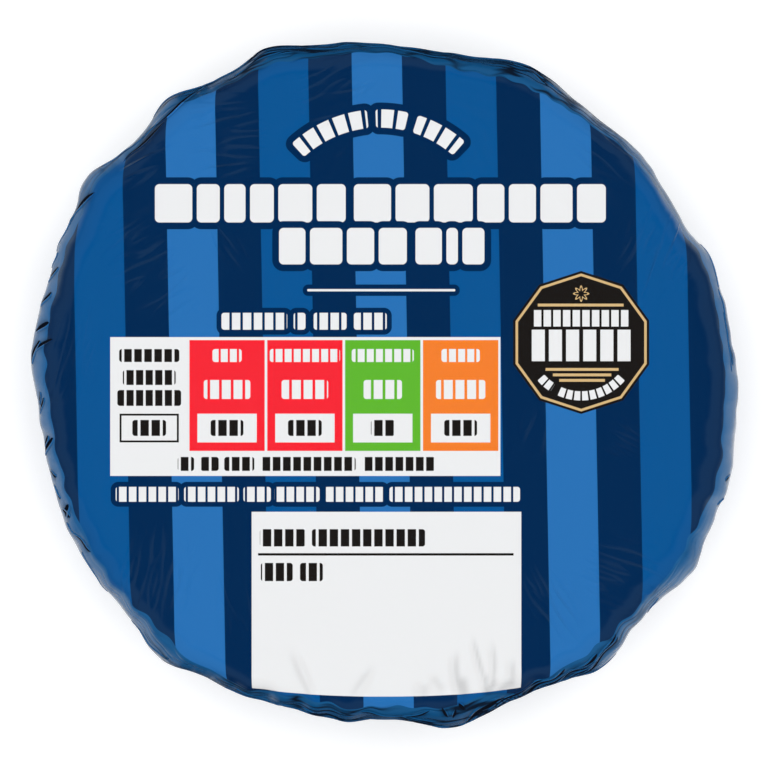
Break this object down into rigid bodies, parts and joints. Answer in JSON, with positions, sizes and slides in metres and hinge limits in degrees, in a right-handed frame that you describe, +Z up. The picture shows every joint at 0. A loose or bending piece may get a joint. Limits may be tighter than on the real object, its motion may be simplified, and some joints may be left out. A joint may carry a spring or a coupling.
{
  "type": "wrapped pork pie",
  "caption": "Round individual pork pie sealed in tight printed shrink film, flat-topped with an uneven crimped edge, standing on its flat base.",
  "frame": {"origin": "centre of the bottom of the pack's box, on the surface that it stands on", "axes": "+Z up through the lid, +Y towards the top of the print on the lid, +X to the right of the print and along the widest part of the pack"},
  "size_m": [0.0782, 0.0756, 0.0416],
  "materials": {
    "printed_film": "glossy printed polyolefin shrink film, navy, mid blue and light blue stripes with white, red, green and orange fields"
  },
  "bodies": {
    "root": {"wrapped_pie": "printed_film"}
  },
  "joints": []
}
